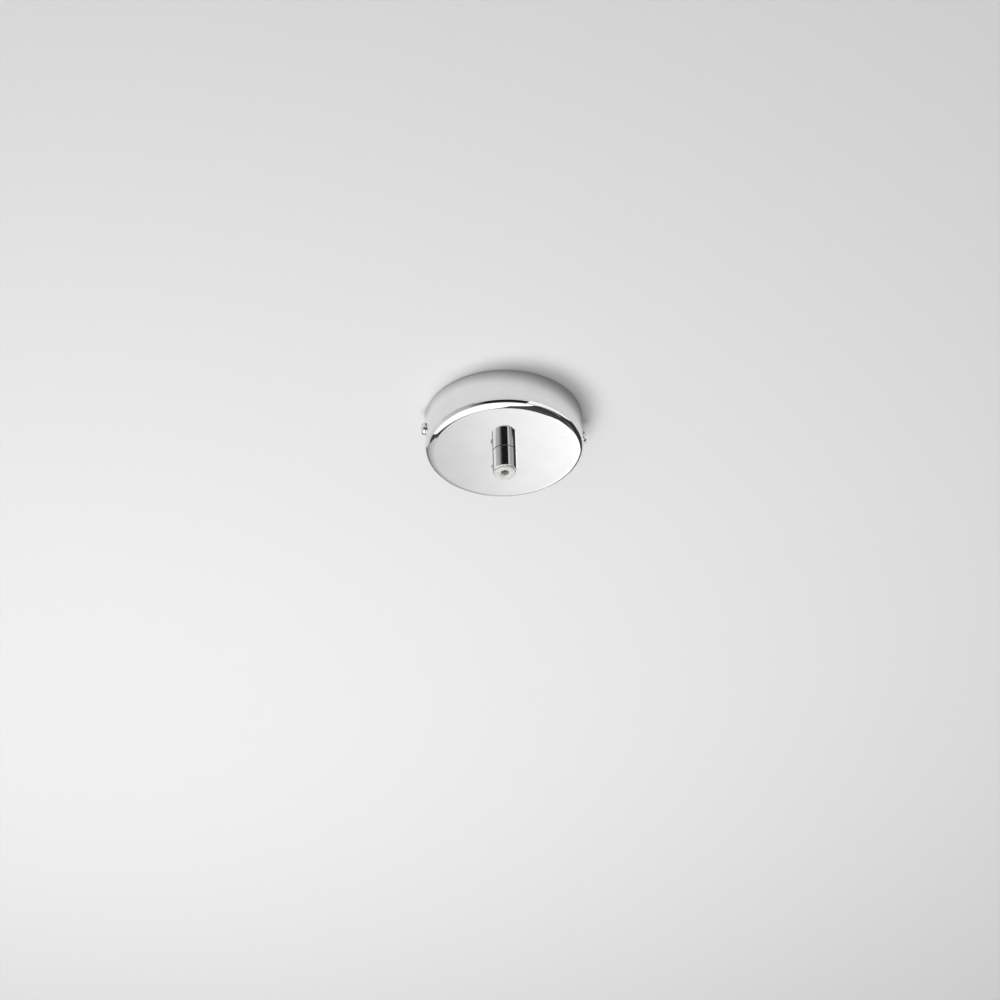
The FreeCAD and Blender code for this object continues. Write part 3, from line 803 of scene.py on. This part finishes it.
@dataclass
class SideScrews:
    """The two pan-head screws that hold the cup to the bracket, in millimetres."""

    finishes: Finishes
    head_diameter: float = 8.0
    head_height: float = 2.4
    head_rounding: float = 1.8
    head_foot: float = 0.15
    tip_chamfer: float = 0.6
    recess_width: float = 1.1
    recess_span: float = 4.4
    recess_depth: float = 1.4
    recess_taper: float = 0.5
    segments: int = 72

    def recess(self, top: float) -> bpy.types.Object:
        """Make the tool that presses the cross recess.

        Args:
            top: height of the head's crown.

        Returns:
            The tapered cross.
        """
        tool = new_primitive("cross_punch", bpy.ops.mesh.primitive_cube_add, size=self.recess_width * MM)
        bpy.ops.object.mode_set(mode="EDIT")
        bpy.ops.mesh.select_mode(type="FACE")
        bpy.ops.mesh.select_all(action="DESELECT")
        bpy.ops.object.mode_set(mode="OBJECT")
        for face in tool.data.polygons:
            face.select = abs(face.normal.z) < 0.5
        bpy.ops.object.mode_set(mode="EDIT")
        arm = (self.recess_span - self.recess_width) / 2
        bpy.ops.mesh.extrude_faces_move(TRANSFORM_OT_shrink_fatten={"value": arm * MM})
        select_vertices(tool, lambda place: place.z < 0)
        bpy.ops.transform.resize(value=(self.recess_taper, self.recess_taper, 1.0))
        bpy.ops.mesh.select_all(action="SELECT")
        bpy.ops.mesh.normals_make_consistent(inside=False)
        bpy.ops.object.mode_set(mode="OBJECT")
        deep = 2 * self.recess_depth / self.recess_width
        settle(tool, Matrix.Translation((0, 0, top * MM)) @ Matrix.Diagonal((1, 1, deep, 1)))
        return tool

    def build_one(self, side: int, body: Body, node: str) -> None:
        """Make one screw and set it in the cup's side.

        Args:
            side: 1 on the right, -1 on the left.
            body: the body that it rides on.
            node: the CAD node that it stands for.
        """
        low, high = box_mm(node)
        outer, inner = (high.x, low.x) if side > 0 else (-low.x, -high.x)
        seat = outer - self.head_height
        radius = M4_THREAD.diameter / 2
        screw = turn_section(f"pan_head_{node}", [
            Corner(0.0, inner),
            Corner(radius - self.tip_chamfer, inner),
            Corner(radius, inner + self.tip_chamfer, rings=M4_THREAD.rings(seat - inner)),
            Corner(radius, seat),
            Corner(self.head_diameter / 2, seat, self.head_foot, steps=3),
            Corner(self.head_diameter / 2, outer, self.head_rounding, steps=12),
            Corner(0.0, outer),
        ], closed=False, segments=self.segments)
        M4_THREAD.wind(screw, inner, seat)
        cut(screw, self.recess(outer))
        height = (low.z + high.z) / 2
        turn = Matrix.Rotation(side * math.pi / 2, 4, "Y")
        settle(screw, Matrix.Translation((0, 0, height * MM)) @ turn)
        smooth(screw)
        self.finishes.fit(screw, body, Slot.CHROME_SCREW, node)

    def build(self) -> None:
        """Make both screws."""
        self.build_one(-1, Body.LEFT_SCREW, "side_screw_left")
        self.build_one(1, Body.RIGHT_SCREW, "side_screw_right")


@dataclass
class Inside:
    """What the cup hides: nipple, nut, washer, bracket, terminal block and earth, in millimetres."""

    finishes: Finishes
    nipple_bore: float = 7.0
    nipple_chamfer: float = 0.6
    nipple_edge: float = 0.2
    sheet_edge: float = 0.18
    moulded_edge: float = 0.35
    stamped_edge: float = 0.15

    def nipple(self) -> None:
        """Turn the threaded nipple."""
        low, high = box_mm("threaded_nipple")
        radius = M10_FINE_THREAD.diameter / 2
        bore = self.nipple_bore / 2
        nipple = turn_section("grip_nipple", [
            Corner(bore, low.z, self.nipple_edge, steps=3),
            Corner(radius - self.nipple_chamfer, low.z),
            Corner(radius, low.z + self.nipple_chamfer,
                   rings=M10_FINE_THREAD.rings(high.z - low.z)),
            Corner(radius, high.z - self.nipple_chamfer),
            Corner(radius - self.nipple_chamfer, high.z),
            Corner(bore, high.z, self.nipple_edge, steps=3),
        ], closed=True)
        M10_FINE_THREAD.wind(nipple, low.z, high.z)
        smooth(nipple)
        self.finishes.fit(nipple, Body.ROSE, Slot.ZINC_HARDWARE, "threaded_nipple")

    def build(self) -> None:
        """Make the softened pieces and dress the small ones that stay as they are."""
        self.nipple()
        softened = [
            ("mounting_bracket", "strap_bracket", self.sheet_edge, Slot.ZINC_SHEET),
            ("terminal_block_housing", "terminal_block", self.moulded_edge, Slot.POLYAMIDE),
            ("lock_nut", "nipple_nut", self.stamped_edge, Slot.ZINC_HARDWARE),
            ("lock_washer", "nipple_washer", self.stamped_edge, Slot.ZINC_HARDWARE),
        ]
        for node, name, edge, slot in softened:
            self.finishes.fit(softened_copy(node, name, edge), Body.ROSE, slot, node)
        slots = {row["node"]: Slot(row["material_slot"]) for row in frame["record"]["subparts"]}
        for node, kept in frame["nodes"].items():
            if not kept.hide_render:
                self.finishes.dress(kept, slots[node])
                LOG.info("%s: kept, %s", node, slots[node].value)


# The studio


def direction(azimuth: float, elevation: float = 0.0) -> Vector:
    """Give a direction in the viewer's frame, where +Y is away from the viewer.

    Args:
        azimuth: in degrees, where 0 is straight away from the viewer and positive is to the right.
        elevation: in degrees, positive upwards.

    Returns:
        The direction, with a length of 1.
    """
    side = math.radians(azimuth)
    rise = math.radians(elevation)
    level = math.cos(rise)
    return Vector((math.sin(side) * level, math.cos(side) * level, math.sin(rise)))


def level_ring(name: str, inner: float, outer: float, height: float) -> bpy.types.Object:
    """Make a flat ring about the Z axis that faces down.

    Args:
        name: name of the ring.
        inner: its inner radius in metres.
        outer: its outer radius.
        height: its height.

    Returns:
        The ring.
    """
    ring = new_primitive(name, bpy.ops.mesh.primitive_circle_add, vertices=RING_SEGMENTS, radius=inner,
                         location=(0, 0, height))
    bpy.ops.object.transform_apply(location=True)
    bpy.ops.object.mode_set(mode="EDIT")
    bpy.ops.mesh.select_all(action="SELECT")
    bpy.ops.mesh.extrude_edges_move()
    bpy.ops.transform.resize(value=(outer / inner, outer / inner, 1.0))
    bpy.ops.mesh.select_all(action="SELECT")
    bpy.ops.object.mode_set(mode="OBJECT")
    if ring.data.polygons[0].normal.z > 0:
        bpy.ops.object.mode_set(mode="EDIT")
        bpy.ops.mesh.flip_normals()
        bpy.ops.object.mode_set(mode="OBJECT")
    return ring


@dataclass(frozen=True)
class PhotoView:
    """The photograph's viewpoint.

    Attributes:
        lens_mm: focal length.
        distance: from the camera to the middle of the cup's lower face, in metres.
        elevation: how far the camera looks up, in degrees.
        roll: its turn about its line of sight, in degrees.
        azimuth: how far it stands round from the middle of the rose's front, in degrees.
        middle_pixel: the pixel that shows the middle of the cup's lower face.
    """

    lens_mm: float = 108.0
    distance: float = 1.8886
    elevation: float = 36.61
    roll: float = -1.68
    azimuth: float = 7.9
    middle_pixel: tuple[float, float] = (504.5, 452.33)

    def turn(self) -> Matrix:
        """Give the turn from the viewer's frame, with +Y away from the viewer, to the rose's frame."""
        return Matrix.Rotation(math.radians(-self.azimuth), 4, "Z")

    def build(self) -> None:
        """Make the camera that looks up at the cup from below."""
        low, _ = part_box("canopy")
        rise = math.radians(self.elevation)
        tilt = math.radians(self.roll)
        ahead = Vector((0, math.cos(rise), math.sin(rise)))
        level_up = Vector((0, -math.sin(rise), math.cos(rise)))
        level_right = Vector((1, 0, 0))
        right = math.cos(tilt) * level_right + math.sin(tilt) * level_up
        up = math.cos(tilt) * level_up - math.sin(tilt) * level_right
        focal = self.lens_mm / SENSOR_MM * IMAGE_SIDE
        across = (self.middle_pixel[0] - IMAGE_SIDE / 2) / focal
        down = (self.middle_pixel[1] - IMAGE_SIDE / 2) / focal
        sight = (across * right - down * up + ahead).normalized()
        eye = Vector((0, 0, low.z)) - self.distance * sight
        data = bpy.data.cameras.new("photo_camera")
        data.lens = self.lens_mm
        data.sensor_width = SENSOR_MM
        camera = bpy.data.objects.new("photo_camera", data)
        bpy.context.scene.collection.objects.link(camera)
        axes = Matrix((right, up, -ahead)).transposed().to_4x4()
        camera.matrix_world = self.turn() @ Matrix.Translation(eye) @ axes
        bpy.context.scene.camera = camera


@dataclass(frozen=True)
class Screen:
    """A studio screen that only reflections show.

    Attributes:
        name: its name.
        corners: azimuth and elevation of each corner in degrees, seen from the cup's middle, where
            azimuth 0 is straight away from the viewer and positive azimuth is to the right.
        left_level: brightness at its left end.
        right_level: brightness at its right end.
        distance: how far off it stands, in metres, or how far below the cup it lies if it is level.
        level: whether it lies level below the cup.
        upper_levels: brightness at the left and right ends of its top, if that differs from its foot.
    """

    name: str
    corners: tuple[tuple[float, float], ...]
    left_level: float
    right_level: float
    distance: float = 1.2
    level: bool = False
    upper_levels: tuple[float, float] | None = None

    def point(self, azimuth: float, elevation: float) -> Vector:
        """Give the place of a corner in the viewer's frame."""
        sight = direction(azimuth, elevation)
        return sight * (self.distance / -sight.z if self.level else self.distance)

    def build(self, middle: Vector, turn: Matrix) -> bpy.types.Object:
        """Draw the screen's outline and fill it.

        Args:
            middle: the cup's middle.
            turn: turn from the viewer's frame to the rose's frame.

        Returns:
            The screen.
        """
        screen = draw_line(self.name, [self.point(*corner) for corner in self.corners])
        bpy.ops.mesh.edge_face_add()
        bpy.ops.object.mode_set(mode="OBJECT")
        settle(screen, Matrix.Translation(middle) @ turn)
        screen.data.materials.append(self.glow(middle, turn))
        return screen

    def glow(self, middle: Vector, turn: Matrix) -> bpy.types.Material:
        """Make its glow, graded from its left end to its right end and from its foot to its top.

        Args:
            middle: the cup's middle.
            turn: turn from the viewer's frame to the rose's frame.

        Returns:
            The material.
        """
        material, tree = new_material(self.name)
        if self.left_level == self.right_level and not self.upper_levels:
            light = add_node(tree, "ShaderNodeEmission", {"Strength": self.left_level})
        else:
            azimuths = [azimuth for azimuth, _ in self.corners]
            heading = math.radians((min(azimuths) + max(azimuths)) / 2)
            reach = self.distance * math.sin(math.radians((max(azimuths) - min(azimuths)) / 2))
            place = add_node(tree, "ShaderNodeTexCoord").outputs["Object"]
            facing = add_node(tree, "ShaderNodeMapping", {
                "vector_type": "TEXTURE", "Location": middle,
                "Rotation": (0, 0, turn.to_euler().z - heading),
            }, {"Vector": place})
            axes = add_node(tree, "ShaderNodeSeparateXYZ", {}, {0: facing.outputs[0]})
            foot_levels = (self.left_level, self.right_level)
            rows = [foot_levels, self.upper_levels or foot_levels]
            foot, top = (add_node(tree, "ShaderNodeMapRange", {
                "From Min": -reach, "From Max": reach, "To Min": left, "To Max": right,
            }, {"Value": axes.outputs["X"]}).outputs[0] for left, right in rows)
            heights = [self.point(*corner).z for corner in self.corners]
            grade = add_node(tree, "ShaderNodeMapRange", {
                "From Min": min(heights), "From Max": max(heights),
            }, {"Value": axes.outputs["Z"], "To Min": foot, "To Max": top})
            light = add_node(tree, "ShaderNodeEmission", {}, {"Strength": grade.outputs[0]})
        add_node(tree, "ShaderNodeOutputMaterial", {}, {"Surface": light.outputs[0]})
        return material


# How far the edge cards stand from the cup's middle, in metres.
EDGE_CARD_REACH = 0.108
# What the chrome shows: soft boxes and a dark floor below, walls and drapes round about, and small cards
# next to the rounded edge.
SCREENS = (
    Screen("soft_box", (
        (-2.5, -41), (0, -60), (20, -81), (63, -81.4), (120, -69.4), (131, -44), (146, -48), (180, -53),
        (-155, -49), (-137, -46), (-110, -40), (-92, -38), (-72, -39), (-52, -40), (-45, -41),
        (-34, -47.5), (-24, -46.5), (-10, -46),
    ), 1.5, 1.5, 1.0, level=True),
    Screen("soft_box_end", (
        (-92, -38), (-84, -30), (-75, -23), (-63.4, -21.5), (-54, -34.5), (-45, -41), (-52, -40),
        (-72, -39),
    ), 1.0, 1.1, 1.0, level=True),
    Screen("dark_floor", (
        (0, -38), (9, -35.6), (29, -35.2), (46, -34.5), (86, -34.8), (88, -37.8), (99, -37.8),
        (127, -37.8), (131, -40), (150, -70), (-90, -80), (-14, -60),
    ), 0.1, 0.04, 1.05, level=True),
    Screen("front_left", (
        (-49, 2), (-6.5, 2), (-6.5, -40.4), (-12, -41), (-24, -42), (-33, -41.3), (-43, -33.5),
        (-47, -24), (-49, -14),
    ), 0.66, 0.67, upper_levels=(0.21, 0.53)),
    Screen("front_middle", (
        (-6.5, -34), (6.5, -34), (6.5, -44.5), (3, -41.5), (-2.5, -40.4), (-6.5, -40.4),
    ), 0.62, 1.56, upper_levels=(0.475, 1.29)),
    Screen("front_middle_top", (
        (-6.5, 2), (6.5, 2), (6.5, -34), (-6.5, -34),
    ), 0.475, 1.29, upper_levels=(0.47, 1.0)),
    Screen("front_right", (
        (6.5, 2), (36, 2), (39, -8), (45, -20), (49, -31), (45, -43), (34, -53), (17, -51), (12, -48.5),
        (6.5, -44.5),
    ), 1.5, 1.4, upper_levels=(1.0, 1.3)),
    Screen("left_gap", (
        (-2.3, -50), (-4, -46.8), (-8, -47.5), (-15, -49.5), (-24, -50), (-34, -47.5), (-45, -41),
        (-54, -34.5), (-63.4, -21.5), (-56, -17), (-48.8, -15), (-47, -24), (-43, -33.5), (-33, -41.3),
        (-24, -42), (-12, -41), (-6.5, -40.8), (-2.5, -40.8),
    ), 0.05, 0.08, 1.22),
    Screen("left_wall", (
        (-92, 2), (-49, 2), (-48.8, -15), (-56, -17), (-63.4, -21.5), (-75, -23), (-84, -30), (-92, -38),
    ), 0.74, 0.66),
    Screen("left_back_wall", (
        (-143, 2), (-120, 2), (-92, 2), (-92, -38), (-110, -40), (-137, -46), (-132, -27), (-143, -10),
    ), 0.4, 0.66),
    Screen("back_wall", (
        (146, 2), (183, 2), (217, 2), (217, -10), (183, -12), (146, -10),
    ), 0.75, 0.75),
    Screen("back_drape", (
        (146, -10), (183, -12), (205, -11), (205, -42), (183, -45), (146, -41),
    ), 0.014, 0.014),
    Screen("drape_fold", (
        (205, -11), (217, -10), (228, -27), (223, -42), (205, -42),
    ), 0.02, 0.36),
    Screen("right_drape", (
        (36, 2), (79, 2), (88, -17), (99, -25), (115, -30.5), (129.5, -33.7), (127, -35.2), (99, -35.2),
        (86, -34.8), (49, -31), (45, -20), (39, -8),
    ), 0.03, 0.05),
    Screen("right_ledge", (
        (86, -35.2), (99, -35.2), (127, -35.2), (127, -37.8), (99, -37.8), (86, -37.8),
    ), 0.5, 0.44),
    Screen("right_back_ledge", (
        (127, -33), (146, -33), (146, -44), (131, -44), (127, -37.8),
    ), 0.72, 0.72),
    Screen("right_wall", (
        (79, 2), (112, 2), (146, 2), (146, -33), (129.5, -33.7), (115, -30.5), (99, -25), (88, -17),
    ), 1.0, 1.1),
    *(
        Screen(f"edge_card_{side}", ((left, -1.5), (right, -1.5), (right, 13), (left, 13)), *levels,
               EDGE_CARD_REACH)
        for side, left, right, levels in (
            ("left", -64, -34, (0.2, 0.25)), ("far_left", -34, -5, (0.25, 0.4)),
            ("far_right", -5, 24, (0.4, 0.2)), ("right", 24, 52, (0.12, 0.1)),
        )
    ),
    Screen("edge_card_near_right", (
        (52, -1.5), (87, -1.5), (83, 3), (70, 8), (52, 13),
    ), 0.08, 0.06, EDGE_CARD_REACH),
)


@dataclass
class Studio:
    """The ceiling, the light and the screens that the chrome reflects, in metres and degrees.

    Attributes:
        view: the photograph's viewpoint, from which azimuths count.
        ceiling_gap: from the rose's top to the ceiling.
        ceiling_hole: radius of the hole over the cup, which keeps the cup open from above.
        ceiling_reach: radius of the ceiling.
        ceiling_colour: colour of its paint.
        world_level: light from all round.
        reflected_level: level of the air in reflections.
        backdrop_level: level of the air behind the part.
        key_azimuth: where the key light hangs.
        key_elevation: how far below the cup it hangs.
        key_distance: from the cup to it.
        key_size: its diameter.
        key_share: its share of a plain level on the ceiling.
        rim_shade_level: how much light the painted rim shade lets through next to the cup.
        rim_shade_reach: how far the painted shade reaches from the cup.
        rim_shade_shift: how far it is off centre.
        rim_shade_azimuth: towards which side.
        side_light: how much more light than the mean comes from the brightest side.
        side_light_azimuth: where that side is.
        screens: what stands round the part.
    """

    view: PhotoView
    ceiling_gap: float = 0.00005
    ceiling_hole: float = 0.048
    ceiling_reach: float = 2.2
    ceiling_colour: str = "#E6E6E6"
    world_level: float = 0.42
    reflected_level: float = 0.49
    backdrop_level: float = 0.9
    key_azimuth: float = -43.6
    key_elevation: float = -66.0
    key_distance: float = 1.3
    key_size: float = 0.9
    key_share: float = 0.586
    rim_shade_level: float = 0.56
    rim_shade_reach: float = 0.008
    rim_shade_shift: float = 0.005
    rim_shade_azimuth: float = 143.0
    side_light: float = 0.8
    side_light_azimuth: float = -172.0
    screens: tuple[Screen, ...] = SCREENS

    def build(self) -> None:
        """Set up the ceiling, the screens, the key light and the world."""
        low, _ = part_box("canopy")
        middle = Vector((0, 0, low.z))
        turn = self.view.turn()
        self.ceiling()
        reflectors = [self.rim_shade(turn)]
        reflectors += [screen.build(middle, turn) for screen in self.screens]
        for reflector in reflectors:
            reflector.visible_camera = False
            reflector.visible_diffuse = False
            reflector.visible_shadow = False
            reflector.visible_transmission = False
        self.key_light(middle, turn)
        self.world(turn)

    def ceiling(self) -> None:
        """Make the matt ceiling, which is solid from below and open from above and over the cup."""
        ceiling = level_ring("ceiling", self.ceiling_hole, self.ceiling_reach, self.ceiling_gap)
        material, tree = new_material("matt_ceiling_paint")
        paint = add_node(tree, "ShaderNodeBsdfDiffuse", {"Color": linear(self.ceiling_colour)})
        clear = add_node(tree, "ShaderNodeBsdfTransparent")
        side = add_node(tree, "ShaderNodeNewGeometry").outputs["Backfacing"]
        surface = add_node(tree, "ShaderNodeMixShader", {}, {
            0: side, 1: paint.outputs[0], 2: clear.outputs[0],
        })
        add_node(tree, "ShaderNodeOutputMaterial", {}, {"Surface": surface.outputs[0]})
        ceiling.data.materials.append(material)

    def rim_shade(self, turn: Matrix) -> bpy.types.Object:
        """Make a painted shade that the cup's wall shows next to the ceiling, deepest on the shadow's
        side.

        Args:
            turn: turn from the viewer's frame to the rose's frame.

        Returns:
            A thin ring under the ceiling, seen only in reflections, that dims what is reflected past it:
            a painted shade.
        """
        _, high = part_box("canopy")
        shade = level_ring("rim_shade", high.x, high.x + self.rim_shade_reach + self.rim_shade_shift,
                           -self.ceiling_gap)
        # Painted shade: a veil that only reflections see, darkest at the rim and fading outwards.
        material, tree = new_material("rim_shade")
        place = add_node(tree, "ShaderNodeTexCoord").outputs["Object"]
        shift = turn @ direction(self.rim_shade_azimuth) * self.rim_shade_shift
        away = add_node(tree, "ShaderNodeVectorMath", {"operation": "DISTANCE", 1: shift}, {0: place})
        level = add_node(tree, "ShaderNodeMapRange", {
            "From Min": high.x - self.rim_shade_shift, "From Max": high.x + self.rim_shade_reach,
            "To Min": self.rim_shade_level, "To Max": 1.0,
        }, {"Value": away.outputs["Value"]})
        veil = add_node(tree, "ShaderNodeBsdfTransparent", {}, {"Color": level.outputs[0]})
        add_node(tree, "ShaderNodeOutputMaterial", {}, {"Surface": veil.outputs[0]})
        shade.data.materials.append(material)
        return shade

    def key_light(self, middle: Vector, turn: Matrix) -> None:
        """Hang the soft key light, which lights the ceiling at its share of a plain level.

        Args:
            middle: the point that it shines on.
            turn: turn from the viewer's frame to the rose's frame.
        """
        heading = turn.to_3x3() @ direction(self.key_azimuth, self.key_elevation)
        steepness = -math.sin(math.radians(self.key_elevation))
        data = bpy.data.lights.new("key_light", "AREA")
        data.shape = "DISK"
        data.size = self.key_size
        reach = self.key_distance ** 2 + (self.key_size / 2) ** 2
        data.energy = self.key_share * math.pi ** 2 * reach / steepness
        light = bpy.data.objects.new("key_light", data)
        bpy.context.scene.collection.objects.link(light)
        light.location = middle + heading * self.key_distance
        light.rotation_euler = heading.to_track_quat("Z", "Y").to_euler()
        light.visible_glossy = False
        light.visible_camera = False

    def world(self, turn: Matrix) -> None:
        """Set the light all round, brightest from one side, and its level in reflections and behind.

        Args:
            turn: turn from the viewer's frame to the rose's frame.
        """
        world = bpy.data.worlds.new("studio_air")
        world.use_nodes = True
        bpy.context.scene.world = world
        tree = world.node_tree
        tree.nodes.clear()
        ray = add_node(tree, "ShaderNodeLightPath")
        heading = add_node(tree, "ShaderNodeTexCoord").outputs["Generated"]
        facing = add_node(tree, "ShaderNodeVectorMath", {
            "operation": "DOT_PRODUCT", 1: turn @ direction(self.side_light_azimuth),
        }, {0: heading})
        level = add_node(tree, "ShaderNodeMapRange", {
            "From Min": -1.0, "To Min": self.world_level * (1 - self.side_light),
            "To Max": self.world_level * (1 + self.side_light),
        }, {"Value": facing.outputs["Value"]})
        reflected = add_node(tree, "ShaderNodeMix", {
            "data_type": "RGBA", MIX_B: grey(self.reflected_level),
        }, {0: ray.outputs["Is Glossy Ray"], MIX_A: level.outputs[0]})
        seen = add_node(tree, "ShaderNodeMix", {
            "data_type": "RGBA", MIX_B: grey(self.backdrop_level),
        }, {0: ray.outputs["Is Camera Ray"], MIX_A: reflected.outputs[MIX_RESULT]})
        air = add_node(tree, "ShaderNodeBackground", {}, {"Color": seen.outputs[MIX_RESULT]})
        add_node(tree, "ShaderNodeOutputWorld", {}, {"Surface": air.outputs[0]})


def main() -> None:
    """Build the rose, dress it and set up the studio and the camera."""
    logging.basicConfig(level=logging.INFO, format="%(message)s")
    bpy.context.scene.view_settings.view_transform = "Standard"
    finishes = Finishes.make_all()
    Cup(finishes).build()
    CordGrip(finishes).build()
    SideScrews(finishes).build()
    Inside(finishes).build()
    view = PhotoView()
    Studio(view).build()
    view.build()


if __name__ == "__main__":
    main()
